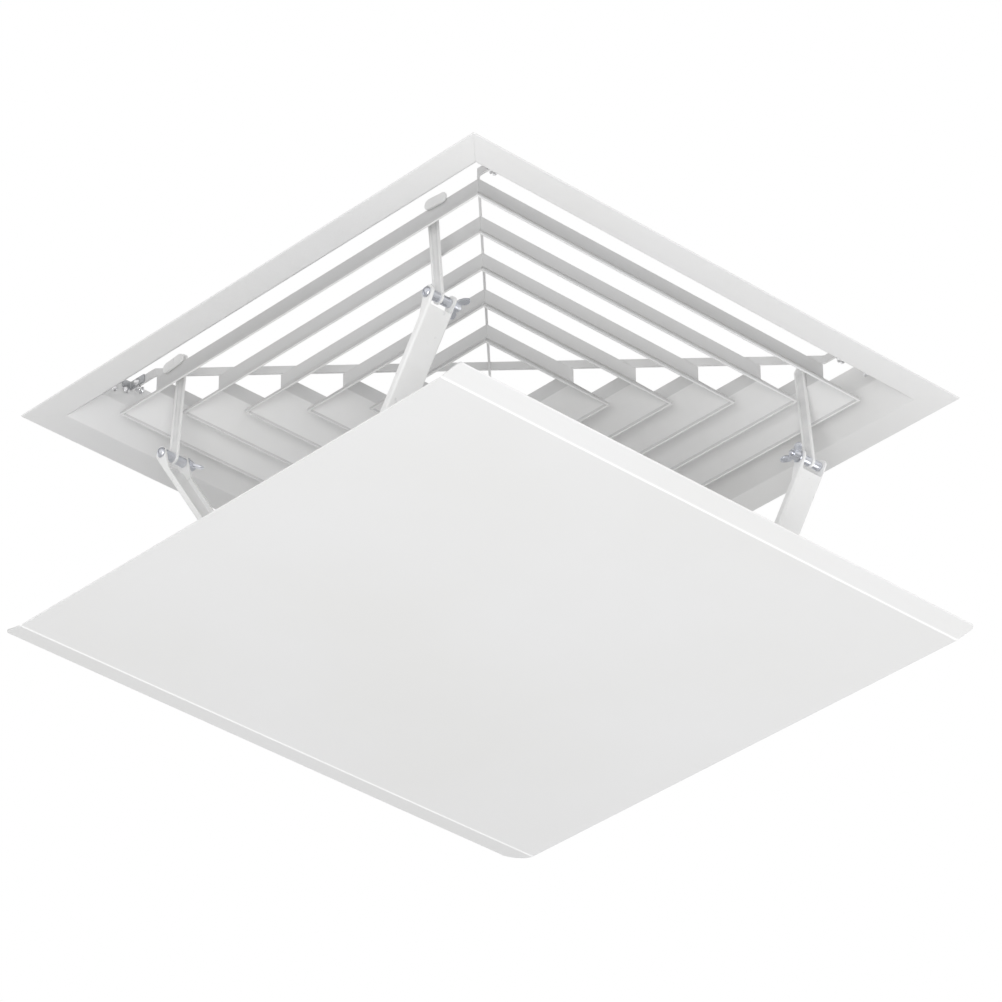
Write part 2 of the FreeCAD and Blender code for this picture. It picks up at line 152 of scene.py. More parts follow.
def moved(piece, matrix):
    """Move a piece's mesh; a mirrored one gets its faces turned out again."""
    piece.data.transform(matrix)
    if matrix.determinant() < 0:
        piece.data.flip_normals()
    return piece


def joined(name, parts):
    """Several loose solids kept together as one piece."""
    work = bmesh.new()
    for part in parts:
        work.from_mesh(part.data)
        bpy.data.objects.remove(part)
    return piece_of(name, work)


def fit(piece, body, finish, *nodes):
    """Give a piece its finish, put it on its body, and let it stand for the plain parts."""
    material, slot = finish
    piece.data.shade_smooth()
    piece.data.set_sharp_from_angle(angle=math.radians(35))
    piece.modifiers.new("flat faces", "WEIGHTED_NORMAL").keep_sharp = True
    piece.data.materials.clear()
    piece.data.materials.append(material)
    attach(piece, body)
    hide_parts(*nodes)


class Finish:
    """A surface finish under construction: its node tree and short ways to add to it."""

    def __init__(self, name):
        self.material = bpy.data.materials.new(name)
        self.material.use_nodes = True
        self.tree = self.material.node_tree
        self.shader = self.tree.nodes["Principled BSDF"]
        self.place = self.tree.nodes.new("ShaderNodeTexCoord").outputs["Object"]

    def join(self, value, socket):
        if isinstance(value, bpy.types.NodeSocket):
            self.tree.links.new(value, socket)
        else:
            socket.default_value = value

    def noise(self, scale, detail=3.0, stretch=None):
        """Even random grain; stretch squeezes it along each axis."""
        grain = self.tree.nodes.new("ShaderNodeTexNoise")
        grain.inputs["Scale"].default_value = scale
        grain.inputs["Detail"].default_value = detail
        place = self.place
        if stretch:
            squeeze = self.tree.nodes.new("ShaderNodeMapping")
            squeeze.inputs["Scale"].default_value = stretch
            self.join(place, squeeze.inputs["Vector"])
            place = squeeze.outputs["Vector"]
        self.join(place, grain.inputs["Vector"])
        return grain.outputs["Fac"]

    def spread(self, value, low, high, start=0.3, end=0.7):
        """Map a value from start..end to low..high."""
        ramp = self.tree.nodes.new("ShaderNodeMapRange")
        for socket, number in zip(("From Min", "From Max", "To Min", "To Max"), (start, end, low, high)):
            ramp.inputs[socket].default_value = number
        self.join(value, ramp.inputs["Value"])
        return ramp.outputs["Result"]

    def times(self, a, b):
        product = self.tree.nodes.new("ShaderNodeMath")
        product.operation = "MULTIPLY"
        self.join(a, product.inputs[0])
        self.join(b, product.inputs[1])
        return product.outputs["Value"]

    def blend(self, share, one, other):
        """Colour one where share is 0 and the other where it is 1."""
        mix = self.tree.nodes.new("ShaderNodeMix")
        mix.data_type = "RGBA"
        self.join(share, mix.inputs["Factor"])
        self.join(one, mix.inputs["A"])
        self.join(other, mix.inputs["B"])
        return mix.outputs["Result"]

    def upward(self):
        """How far a surface faces up, where dust settles."""
        parts = self.tree.nodes.new("ShaderNodeSeparateXYZ")
        self.join(self.tree.nodes.new("ShaderNodeNewGeometry").outputs["Normal"], parts.inputs["Vector"])
        return self.spread(parts.outputs["Z"], 0.0, 1.0, 0.55, 0.95)

    def upright(self):
        """How close a surface is to standing upright."""
        parts = self.tree.nodes.new("ShaderNodeSeparateXYZ")
        self.join(self.tree.nodes.new("ShaderNodeNewGeometry").outputs["Normal"], parts.inputs["Vector"])
        return self.spread(self.times(parts.outputs["Z"], parts.outputs["Z"]), 1.0, 0.0, 0.05, 0.3)

    def relief(self, *layers):
        """Stack of bumps, each a height field and its depth in metres."""
        normal = None
        for height, depth in layers:
            bump = self.tree.nodes.new("ShaderNodeBump")
            bump.inputs["Distance"].default_value = depth
            self.join(height, bump.inputs["Height"])
            if normal:
                self.join(normal, bump.inputs["Normal"])
            normal = bump.outputs["Normal"]
        self.join(normal, self.shader.inputs["Normal"])

    def done(self, colour, rough, metal=0.0, specular=0.5):
        self.join(colour, self.shader.inputs["Base Color"])
        self.join(rough, self.shader.inputs["Roughness"])
        self.shader.inputs["Metallic"].default_value = metal
        self.shader.inputs["Specular IOR Level"].default_value = specular
        return self.material


def powder_coat(name, grey, dust=0.12, peel=0.00006, upright_shade=0.0):
    """Baked white powder paint: faint orange peel, fine grain, cloudy tone and a painted highlight along
    folds.

    Dust settles on what faces up, and upright faces are given painted shade: they are blended towards flat
    grey.
    """
    coat = Finish(name)
    cloud = coat.noise(5.0, 4.0)
    grain = coat.noise(2600.0, 2.0)
    clean = (grey, grey, grey * 1.003, 1)
    tinted = (grey * 0.972, grey * 0.97, grey * 0.962, 1)
    tone = coat.blend(coat.spread(cloud, 0.0, 1.0), clean, tinted)
    settled = coat.times(coat.upward(), coat.spread(coat.noise(38.0, 6.0), 0.0, dust, 0.35, 0.75))
    dusty = coat.blend(settled, tone, (0.42, 0.40, 0.37, 1))
    # Painted shade: upright faces are darkened towards grey, standing in for the shade that falls on them.
    upright_shaded = coat.blend(coat.times(coat.upright(), upright_shade), dusty, (0.42, 0.42, 0.42, 1))
    # Painted highlight: where the mesh marks a fold, the colour is lifted towards near white.
    fold_highlight = coat.tree.nodes.new("ShaderNodeAttribute")
    fold_highlight.attribute_name = "fold_highlight"
    colour = coat.blend(fold_highlight.outputs["Fac"], upright_shaded, (0.98, 0.98, 0.98, 1))
    coat.relief((coat.noise(520.0, 2.0), peel), (grain, peel * 0.35))
    return coat.done(colour, coat.spread(cloud, 0.40, 0.52))


frame_coat = (powder_coat("frame_powder_coat", 0.80), "frame_powder_coat")
frame_low, frame_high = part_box("frame_side_right")
face_half, neck_half = frame_high.x, frame_low.x
wall = -frame_low.z
flange_in = face_half - 29 * MM
cone_top = flange_in - neck_half - wall
bend = wall * (math.sqrt(2) - 1)
frame_outline = rounded(
    [(face_half, -wall), (flange_in, -wall), (neck_half, cone_top), (neck_half, frame_high.z),
     (neck_half + wall, frame_high.z), (neck_half + wall, cone_top + bend), (flange_in + bend, 0),
     (face_half, 0)],
    [0.6 * MM, 2.2 * MM, 3.0 * MM, 0.4 * MM, 0.4 * MM, 4.5 * MM, 0.8 * MM, 0.6 * MM])
hole_radius, hole_from_middle, hole_drop = 2.25, 150 * MM, 12 * MM
for side, degrees in QUARTERS.items():
    length = mitred("frame_" + side, frame_outline, 0)
    for y in (-hole_from_middle, hole_from_middle):
        drill = lathe("drill", [(-5, 0), (-5, hole_radius), (5, hole_radius), (5, 0)])
        drill.data.transform(Matrix.Translation((neck_half, y, frame_high.z - hole_drop)))
        carve(length, drill)
    fit(turn(length, degrees), "frame", frame_coat, "frame_side_" + side)

# ------------------------------------------------------------------ corner cleats
# Small angles of galvanised sheet round the outside of the neck's corners, which hold the mitres
# shut. Each leg is fixed through the neck wall by one solid aluminium rivet with domed heads.


def blank(name, outline, thickness, edge=0.25 * MM, along="X"):
    """Flat blank cut to an outline, its rims eased, with its thickness centred on the axis named."""
    order = {"X": lambda a, b, t: (t, a, b), "Y": lambda a, b, t: (a, t, b), "Z": lambda a, b, t: (a, b, t)}
    rings = [[Vector(order[along](a, b, t)) for a, b in outline] for t in (-thickness / 2, thickness / 2)]
    work = skin(rings)
    rims = [e for e in work.edges if any(len(f.verts) > 4 or len(outline) == 4 for f in e.link_faces)
            and (all(v in set(work.verts[:len(outline)]) for v in e.verts)
                 or all(v in set(work.verts[len(outline):]) for v in e.verts))]
    if edge:
        bmesh.ops.bevel(work, geom=rims, offset=edge, segments=2, profile=0.5, affect="EDGES")
    return piece_of(name, work)


def galvanised(name):
    """Hot-dip zinc: grey spangle of flat crystals, dull where it has oxidised."""
    zinc = Finish(name)
    crystals = zinc.tree.nodes.new("ShaderNodeTexVoronoi")
    crystals.inputs["Scale"].default_value = 260.0
    zinc.join(zinc.place, crystals.inputs["Vector"])
    parts = zinc.tree.nodes.new("ShaderNodeSeparateColor")
    zinc.join(crystals.outputs["Color"], parts.inputs["Color"])
    spangle = parts.outputs["Red"]
    tone = zinc.blend(zinc.spread(spangle, 0.0, 1.0, 0.0, 1.0), (0.40, 0.41, 0.43, 1), (0.60, 0.61, 0.63, 1))
    dulled = zinc.blend(zinc.spread(zinc.noise(60.0, 5.0), 0.0, 0.5), tone, (0.50, 0.50, 0.49, 1))
    zinc.relief((spangle, 0.00004), (zinc.noise(1800.0, 2.0), 0.00003))
    return zinc.done(dulled, zinc.spread(spangle, 0.42, 0.62, 0.0, 1.0), metal=0.85)


def bright_aluminium(name):
    """Cold-headed aluminium: bright, with fine drawing scratches and small dents."""
    alloy = Finish(name)
    scratch = alloy.noise(900.0, 3.0, stretch=(1.0, 0.12, 0.12))
    tone = alloy.blend(alloy.spread(scratch, 0.0, 1.0), (0.78, 0.78, 0.79, 1), (0.90, 0.90, 0.91, 1))
    alloy.relief((scratch, 0.00002), (alloy.noise(420.0, 2.0), 0.00006))
    return alloy.done(tone, alloy.spread(scratch, 0.22, 0.38), metal=1.0)


galvanised_sheet = (galvanised("galvanised_sheet"), "galvanised_sheet")
rivet_metal = (bright_aluminium("bright_rivet"), "bright_rivet")


def rivet(name, grip, shank=2.0, head=3.6, rise=1.6):
    """Rivet along X centred on its grip, in millimetres: a shank and a dome at both ends."""
    dome = [(rise * math.sin(a), head * math.cos(a)) for a in (math.pi / 2 * k / 7 for k in range(8))]
    right = [(grip / 2, shank), (grip / 2, head * 0.97)] + [(grip / 2 + 0.12 + x * 0.93, r) for x, r in dome]
    left = [(-x, r) for x, r in right]
    return lathe(name, left[::-1] + right, steps=32)


cleat_leg, cleat_low, cleat_high = 24 * MM, 24 * MM, 43 * MM
neck_face = neck_half + wall
cleat_face, cleat_end = neck_face + wall, neck_face + wall - cleat_leg
rivet_at = neck_face - 14 * MM
cleat_outline = rounded(
    [(cleat_face, cleat_face), (cleat_end, cleat_face), (cleat_end, neck_face), (neck_face, neck_face),
     (neck_face, cleat_end), (cleat_face, cleat_end)],
    [2.0 * MM, 0.3 * MM, 0.3 * MM, 0, 0.3 * MM, 0.3 * MM])
cleats, cleat_rivets = [], []
for degrees in QUARTERS.values():
    cleat = blank("cleat", cleat_outline, cleat_high - cleat_low, along="Z")
    cleat.data.transform(Matrix.Translation((0, 0, (cleat_high + cleat_low) / 2)))
    cleats.append(turn(cleat, degrees))
    for y in (-rivet_at, rivet_at):
        fixing = rivet("fixing", 2 * wall / MM)
        fixing.data.transform(Matrix.Translation((neck_face, y, (cleat_high + cleat_low) / 2)))
        cleat_rivets.append(turn(fixing, degrees))
fit(joined("neck_cleats", cleats), "frame", galvanised_sheet, "corner_cleats")
fit(joined("neck_rivets", cleat_rivets), "frame", rivet_metal, "cleat_rivets")

# ------------------------------------------------------------------ vane rings
# Five square rings of aluminium vanes, one inside the other. A vane is an upright leg that opens
# into a 45 degree flare and ends in a thin square lip; its ends are mitred and crimped together,
# and the legs are notched where the braces pass. Powder-coated like the frame.
# The vane coat paints shade onto the upright legs.
vane_coat = (powder_coat("vane_powder_coat", 0.85, upright_shade=0.4), "vane_powder_coat")
brace_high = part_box("brace_under")[1]
brace_wall, brace_depth = 2 * MM, 8 * MM
flare, vane_wall, lip_width, lip_height = 22.6 * MM, 1.2 * MM, 2.0 * MM, 2.5 * MM


def vane_outline(low, high):
    """Section of a vane from its box: leg, flare and lip, with the bends and rims rounded."""
    lip, leg = high.x, high.x - flare
    outside = lip + low.z + lip_height
    inside = outside - vane_wall * math.sqrt(2)
    return rounded(
        [(lip, low.z), (lip, outside - lip), (leg, outside - leg), (leg, high.z), (leg - vane_wall, high.z),
         (leg - vane_wall, inside - leg + vane_wall), (lip - lip_width, inside - lip + lip_width),
         (lip - lip_width, low.z)],
        [0.4 * MM, 0.5 * MM, 1.6 * MM, 0.45 * MM, 0.45 * MM, 2.6 * MM, 0.6 * MM, 0.4 * MM])


def brace_slot():
    """The space that one brace takes through all the rings, with a fitting gap each side."""
    reach, gap = 2 * face_half, 0.1 * MM
    low, high = brace_high.z - brace_depth - gap, brace_high.z + 5 * MM
    half = brace_wall / 2 + gap
    section = ((-half, low), (half, low), (half, high), (-half, high))
    slot = piece_of("slot", skin([[Vector((s * reach, y, z)) for y, z in section] for s in (-1, 1)]))
    return turn(slot, 45)


for ring in range(1, 6):
    for side, degrees in QUARTERS.items():
        low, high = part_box("vane_%d_right" % ring)
        vane = mitred("ring_%d_%s" % (ring, side), vane_outline(low, high), 0)
        carve(vane, brace_slot())
        carve(vane, turn(brace_slot(), 90))
        fit(turn(vane, degrees), "frame", vane_coat, "vane_%d_%s" % (ring, side))

# ------------------------------------------------------------------ braces
# Two flat bars on edge run from corner to corner through the notches and carry the rings. They
# are half-lapped where they cross. Outside the first ring each end is bent square to the neck
# wall and stands taller, and two bright rivets hold it to a clip angle on the wall.
brace_under, bend_at, tab_start = brace_high.z - brace_depth, 213 * MM, 226 * MM
brace_end = brace_high.y
tab_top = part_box("brace_clips")[1].z
clip_face, clip_foot = bend_at + brace_wall / 2, 9 * MM


def bent_strip(route, thickness):
    """Plan of a strip that follows a route of points, mitred where it turns."""
    left, right = [], []
    route = [Vector(point) for point in route]
    for i, point in enumerate(route):
        near = route[max(i - 1, 0):i + 2]
        ways = [(b - a).normalized() for a, b in zip(near, near[1:])]
        normals = [Vector((-way.y, way.x)) for way in ways]
        bisector = (normals[0] + normals[-1]).normalized()
        offset = bisector * (thickness / 2 / bisector.dot(normals[0]))
        left.append(point + offset)
        right.insert(0, point - offset)
    return left + right


def raised(piece, low, high):
    """Lift a blank that was drawn about z = 0 to fill a span of height."""
    return moved(piece, Matrix.Translation((0, 0, (low + high) / 2)))


def brace_bar(name, lap_low, lap_high):
    """A whole brace, bent at both ends, with its half of the lap cut away."""
    plan = rounded(
        bent_strip([(-bend_at, -brace_end), (-bend_at, -bend_at), (bend_at, bend_at), (bend_at, brace_end)],
                   brace_wall),
        [0, 2.4 * MM, 4.4 * MM, 0, 0, 2.4 * MM, 4.4 * MM, 0])
    bar = raised(blank(name, plan, brace_depth, edge=0.15 * MM, along="Z"), brace_under, brace_high.z)
    tab_foot = brace_high.z - 1 * MM
    tab = rounded([(tab_start, tab_foot), (brace_end, tab_foot), (brace_end, tab_top), (tab_start, tab_top)],
                  [0, 0, 0.5 * MM, 4 * MM])
    for degrees in (0, 180):
        ear = blank("tab", tab, brace_wall - 0.02 * MM, edge=0.15 * MM)
        carve(bar, turn(moved(ear, Matrix.Translation((bend_at, 0, 0))), degrees), "UNION")
    notch = brace_wall / 2 + 0.05 * MM
    lap = blank("lap", [(-notch, -3 * brace_wall), (notch, -3 * brace_wall), (notch, 3 * brace_wall),
                        (-notch, 3 * brace_wall)], lap_high - lap_low, edge=0, along="Z")
    carve(bar, turn(raised(lap, lap_low, lap_high), 45))
    return bar


lap_z = brace_high.z - brace_depth / 2
fit(brace_bar("brace_lower_lap", lap_z, brace_high.z + brace_depth), "frame", vane_coat, "brace_under")
upper = brace_bar("brace_upper_lap", brace_under - brace_depth, lap_z)
fit(moved(upper, Matrix.Diagonal((-1, 1, 1, 1))), "frame", vane_coat, "brace_over")

clip_plan = rounded(
    [(clip_face, tab_start), (clip_face, neck_half), (clip_face + wall + clip_foot, neck_half),
     (clip_face + wall + clip_foot, neck_half - wall), (clip_face + wall, neck_half - wall),
     (clip_face + wall, tab_start)],
    [0.3 * MM, 1.8 * MM, 0.3 * MM, 0.3 * MM, 0.8 * MM, 0.3 * MM])
tab_rivets = ((236, 42.8), (233, 33.9))
wall_rivet = (220 * MM, neck_half, 37 * MM)
clips, clip_rivets = [], []
for sx in (-1, 1):
    for sy in (-1, 1):
        corner = Matrix.Diagonal((sx, sy, 1, 1))
        clip = blank("clip", clip_plan, tab_top - brace_under, edge=0.2 * MM, along="Z")
        clips.append(moved(raised(clip, brace_under, tab_top), corner))
        for y, z in tab_rivets:
            fixing = rivet("fixing", (brace_wall + wall) / MM)
            middle = (clip_face - brace_wall / 2 + wall / 2, y * MM, z * MM)
            clip_rivets.append(moved(fixing, corner @ Matrix.Translation(middle)))
        fixing = rivet("fixing", 2 * wall / MM)
        clip_rivets.append(moved(fixing, corner @ Matrix.Translation(wall_rivet)
                                 @ Matrix.Rotation(math.pi / 2, 4, "Z")))
fit(joined("clip_angles", clips), "frame", galvanised_sheet, "brace_clips")
fit(joined("clip_rivets", clip_rivets), "frame", rivet_metal, "brace_rivets")

# ------------------------------------------------------------------ arms: where they stand
# Four equal folding arms hang from the long vanes of the first ring. Each piece is drawn for an
# arm on the right-hand vane that leans to the back, then mirrored to its own quarter.
joints = {j["name"]: Vector(j["pos_m"]) for j in frame["joints"] if "pos_m" in j}
ARMS = [name[len("hook_swing_"):] for name in joints if name.startswith("hook_swing_")]


def quarter(arm):
    """Mirror that takes a drawing of the back right arm to this arm's side."""
    hook = joints["hook_swing_" + arm]
    return Matrix.Diagonal((math.copysign(1, hook.x), math.copysign(1, hook.y), 1, 1))


def pivots(arm):
    """Hook, elbow and foot pivots of an arm, as drawn at the back right."""
    low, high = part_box("foot_pin_" + arm)
    points = [joints["hook_swing_" + arm], joints["elbow_" + arm], (low + high) / 2]
    hook, elbow, foot = [Vector((abs(p.x), abs(p.y), p.z)) for p in points]
    foot.x = hook.x
    return hook, elbow, foot


def set_at(piece, arm, point, lean=0.0):
    """Lean a piece about its pivot and take it to its place on the arm."""
    return moved(piece, quarter(arm) @ Matrix.Translation(point) @ Matrix.Rotation(lean, 4, "X"))


def stadium(radius, start, end, steps=14):
    """Flat outline with round ends between two (y, z) points in millimetres."""
    a, b = Vector(start), Vector(end)
    along = math.atan2(b.y - a.y, b.x - a.x)
    out = []
    for centre, first in ((b, along - math.pi / 2), (a, along + math.pi / 2)):
        for k in range(steps + 1):
            angle = first + math.pi * k / steps
            out.append((centre + radius * Vector((math.cos(angle), math.sin(angle)))) * MM)
    return out


hook, elbow, foot = pivots(ARMS[0])
STRAP_LEAN = math.atan2(elbow.y - hook.y, hook.z - elbow.z)
LINK_LEAN = math.atan2(elbow.y - foot.y, elbow.z - foot.z)
STRAP_LENGTH = (elbow - hook).length / MM
LINK_LENGTH = (foot - elbow).length / MM

# ------------------------------------------------------------------ hook straps
# Pressed steel strips with a shallow channel down both faces for stiffness. The top is necked,
# turned over the edge of the vane and ends in a rounded paddle outside it. White enamel.


def enamel(name, grey):
    """Stoved white enamel on pressed steel: smoother than powder, with faint yellowed clouds and small
    scuffs.
    """
    paint = Finish(name)
    cloud = paint.noise(24.0, 4.0)
    clean, yellowed = (grey, grey, grey, 1), (grey * 0.95, grey * 0.95, grey * 0.94, 1)
    tone = paint.blend(paint.spread(cloud, 0.0, 1.0), clean, yellowed)
    marks = paint.spread(paint.noise(160.0, 8.0), 0.0, 0.45, 0.66, 0.74)
    scuffed = paint.blend(marks, tone, (0.55, 0.55, 0.56, 1))
    # Painted shade: the floor of a pressed channel, marked on the mesh, is darkened to grey in patches,
    # standing in for the shade in the recess.
    channel_shade = paint.tree.nodes.new("ShaderNodeAttribute")
    channel_shade.attribute_name = "channel_shade"
    channel_shaded = paint.times(channel_shade.outputs["Fac"], paint.spread(paint.noise(90.0, 5.0), 0.35, 0.75))
    colour = paint.blend(channel_shaded, scuffed, (0.62, 0.62, 0.62, 1))
    paint.relief((paint.noise(700.0, 2.0), 0.00005), (paint.noise(90.0, 2.0), 0.00012))
    return paint.done(colour, paint.spread(cloud, 0.26, 0.38))


strap_enamel = (enamel("hook_enamel", 0.86), "hook_enamel")
STRAP_HALF, STRAP_WALL = 6.0, 2.0
PADDLE_AT, PADDLE_HALF, HOOK_NECK = 4.2, 5.0, 2.5


def pressed_strip(length):
    """Strip hanging from the pivot with a channel pressed into both faces."""
    strip = blank("strip", stadium(STRAP_HALF, (0, -length), (0, 0)), STRAP_WALL * MM, edge=0)
    work = bmesh.new()
    work.from_mesh(strip.data)
    bpy.data.objects.remove(strip)
    # Mark the channel floors for painted shade.
    channel_shade = work.verts.layers.float.new("channel_shade")
    for facing in (-1, 1):
        work.faces.ensure_lookup_table()
        face = next(f for f in work.faces if len(f.verts) > 4 and f.normal.x * facing > 0.9)
        for rim, depth in ((0.3, 0.0), (1.6, 0.0), (0.35, -0.6)):
            bmesh.ops.inset_region(work, faces=[face], thickness=rim * MM, depth=depth * MM,
                                   use_even_offset=True)
        for vert in face.verts:
            vert[channel_shade] = 1.0
    for facing in (-1, 1):
        edge_x = facing * STRAP_WALL / 2 * MM
        outer = [v for v in work.verts if abs(v.co.x - edge_x) < 1e-7
                 and len([e for e in v.link_edges if abs(e.other_vert(v).co.x + edge_x) < 1e-7])]
        for v in outer:
            v.co.x -= facing * 0.3 * MM
    return piece_of("strip", work)


for arm in ARMS:
    hook = pivots(arm)[0]
    strap = pressed_strip(STRAP_LENGTH)
    paddle = blank("paddle", stadium(PADDLE_HALF, (0, 0), (17, -3)), STRAP_WALL * MM, edge=0.5 * MM)
    paddle.data.transform(Matrix.Translation((PADDLE_AT * MM, 0, 0)))
    neck = lathe("neck", [(0, 0), (0, HOOK_NECK), (PADDLE_AT, HOOK_NECK), (PADDLE_AT, 0)])
    carve(strap, paddle, "UNION")
    carve(strap, neck, "UNION")
    strap.name = "strap_" + arm
    set_at(strap, arm, hook, STRAP_LEAN)
    fit(strap, "strap_" + arm, strap_enamel, "hook_strap_" + arm)

# ------------------------------------------------------------------ arm links
# The lower half of each arm is a wide pressed channel. Its flanges deepen into round ears at both
# ends: the upper ears take the elbow screw, the lower ones the pin of the foot.
link_enamel = (enamel("link_enamel", 0.83), "link_enamel")
LINK_HALF, LINK_WALL, WEB_AT, EAR = 14.0, 2.0, 6.5, 7.0


def channel_link(length):
    """Channel hanging from the elbow, cut to its side view, open above and below the web."""
    back = WEB_AT + LINK_WALL
    inner = LINK_HALF - LINK_WALL
    section = rounded(
        [(-LINK_HALF, -9), (-LINK_HALF, back), (LINK_HALF, back), (LINK_HALF, -9),
         (inner, -9), (inner, WEB_AT), (-inner, WEB_AT), (-inner, -9)],
        [0, 2.4, 2.4, 0, 0, 0.9, 0.9, 0])
    link = piece_of("link", skin([[Vector((x, y, z)) * MM for x, y in section] for z in (10, -length - 10)]))
    side = rounded(
        [(-EAR, EAR), (EAR, EAR), (back, -9), (back + 1, -9), (back + 1, 9 - length), (back, 9 - length),
         (EAR, -EAR - length), (-EAR, -EAR - length), (2.5, 22 - length), (2.5, -22)],
        [EAR - 0.1, EAR - 0.1, 0, 0, 0, 0, EAR - 0.1, EAR - 0.1, 9, 9])
    carve(link, blank("side_view", [p * MM for p in side], 60 * MM, edge=0), "INTERSECT")
    for top, bottom in ((20, -9), (9 - length, -length - 20)):
        opening = rounded([(-inner, bottom), (inner, bottom), (inner, top), (-inner, top)], [1.5] * 4)
        carve(link, blank("opening", [p * MM for p in opening], 60 * MM, edge=0, along="Y"))
    for radius, z in ((2.56, 0), (2.0, -length)):
        drill = lathe("drill", [(-30, 0), (-30, radius), (30, radius), (30, 0)])
        carve(link, moved(drill, Matrix.Translation((0, 0, z * MM))))
    return link


for arm in ARMS:
    elbow = pivots(arm)[1]
    link = set_at(channel_link(LINK_LENGTH), arm, elbow, -LINK_LEAN)
    link.name = "link_" + arm
    fit(link, "link_" + arm, link_enamel, "arm_link_" + arm)

# ------------------------------------------------------------------ elbow screws, sleeves, washers
# A slotted round-head machine screw in bright zinc passes through both ears and the strap. Two
# sleeves keep the strap in the middle, and a washer lies under the wing nut.


def bright_zinc(name):
    """Electroplated zinc: bright and slightly blue, with turning marks and handling dulls."""
    plate = Finish(name)
    marks = plate.noise(1500.0, 2.0, stretch=(1.0, 0.1, 0.1))
    patch = plate.noise(120.0, 5.0)
    tone = plate.blend(plate.spread(patch, 0.0, 1.0), (0.62, 0.64, 0.70, 1), (0.74, 0.75, 0.78, 1))
    plate.relief((marks, 0.00002), (patch, 0.00004))
    return plate.done(tone, plate.spread(patch, 0.20, 0.40), metal=1.0)


zinc_hardware = (bright_zinc("zinc_hardware"), "zinc_hardware")
SCREW, THREAD_PITCH, THREAD_DEPTH = 2.5, 0.8, 0.35
screw_tip = -LINK_HALF - 11.0
head_face = LINK_HALF + 0.3


def threaded_shank(start, end, smooth_from):
    """Shank along X with a rolled thread up to smooth_from, tapering at the tip."""
    steps, rows_per_turn = 28, 8
    rings = [[Vector((start, 0, 0)) * MM] * steps]
    x = start
    while x <= smooth_from:
        ring = []
        for k in range(steps):
            phase = ((x - start) / THREAD_PITCH - k / steps) % 1.0
            groove = THREAD_DEPTH * (1 - abs(2 * phase - 1))
            lead = 0.8 * max(0.0, 1 - (x - start) / 1.2)
            radius = SCREW - groove - lead
            angle = math.tau * k / steps
            ring.append(Vector((x, radius * math.cos(angle), radius * math.sin(angle))) * MM)
        rings.append(ring)
        x += THREAD_PITCH / rows_per_turn
    for x, radius in ((smooth_from + 0.4, SCREW - THREAD_DEPTH), (smooth_from + 0.8, SCREW), (end, SCREW)):
        angles = [math.tau * k / steps for k in range(steps)]
        rings.append([Vector((x, radius * math.cos(a), radius * math.sin(a))) * MM for a in angles])
    rings.append([Vector((end, 0, 0)) * MM] * steps)
    return piece_of("shank", skin(rings, closed=False), 50)


def elbow_screw():
    """Threaded shank and a domed head with a driver slot."""
    dome = [(3.1 * math.sin(a), 5 * math.cos(a)) for a in (math.pi / 2 * k / 9 for k in range(10))]
    head = lathe("head", [(head_face - 0.2, 0), (head_face - 0.2, 2.4), (head_face, 2.4), (head_face, 4.8)]
                 + [(head_face + 0.1 + x, r) for x, r in dome])
    slot = rounded([(-0.6, -8), (0.6, -8), (0.6, 8), (-0.6, 8)], [0.1] * 4)
    driver = blank("driver", [p * MM for p in slot], 3 * MM, edge=0)
    carve(head, moved(driver, Matrix.Translation(((head_face + 3.4) * MM, 0, 0))))
    return joined("screw", [threaded_shank(screw_tip, head_face, -LINK_HALF + 3), head])


def sleeve(start, end, radius, ease=0.3):
    """Tube or washer round the screw with eased rims."""
    return lathe("sleeve", [(start, SCREW), (start, radius - ease), (start + ease, radius),
                            (end - ease, radius), (end, radius - ease), (end, SCREW)], hollow=True)


ear_in = LINK_HALF - LINK_WALL
for arm in ARMS:
    elbow = pivots(arm)[1]
    screw = set_at(elbow_screw(), arm, elbow)
    screw.name = "screw_" + arm
    fit(screw, "strap_" + arm, zinc_hardware, "elbow_screw_" + arm)
    sleeves = joined("sleeves_and_washer_" + arm, [
        sleeve(0.3 - ear_in, -STRAP_WALL / 2, 4.5), sleeve(STRAP_WALL / 2, ear_in - 0.3, 4.5),
        sleeve(-LINK_HALF - 1.3, -LINK_HALF - 0.3, 6.0)])
    fit(set_at(sleeves, arm, elbow), "strap_" + arm, zinc_hardware, "elbow_spacers_" + arm)

# ------------------------------------------------------------------ wing nuts
# Pressed zinc wing nuts clamp the elbows by hand. The hub is tapered, and two rounded wings sweep
# up and outwards from it; each is free to spin on its screw.
nut_face = -LINK_HALF - 1.6
for arm in ARMS:
    elbow = pivots(arm)[1]
    hub = lathe("hub", [(nut_face, 2.56), (nut_face, 5.2), (nut_face - 0.3, 5.5), (nut_face - 6.6, 4.35),
                        (nut_face - 7.0, 4.0), (nut_face - 7.0, 2.56)], hollow=True)
    for hand in (1, -1):
        wing = rounded([(nut_face - 1, 3.0), (nut_face - 1, 6.5), (nut_face - 6.0, 12.6),
                        (nut_face - 11.2, 12.9), (nut_face - 11.0, 7.0), (nut_face - 6, 3.0)],
                       [0, 3.0, 5.0, 2.4, 2.4, 0])
        leaf = blank("leaf", [(x * MM, hand * y * MM) for x, y in wing], 1.9 * MM, edge=0.6 * MM, along="Z")
        carve(hub, leaf, "UNION")
    hub.name = "wing_" + arm
    set_at(hub, arm, elbow, math.radians(20))
    fit(hub, "nut_" + arm, zinc_hardware, "wing_nut_" + arm)

# ------------------------------------------------------------------ feet
# Each link ends on a headed pin in a small galvanised bracket: a base with two round-topped lugs.
# Three brackets have short level slots for their pins. Foam tape holds the bases to the plate.
FOOT_UP, LUG_OUT, LUG_WALL, PAD = 12.0, 11.3, 2.0, 1.0


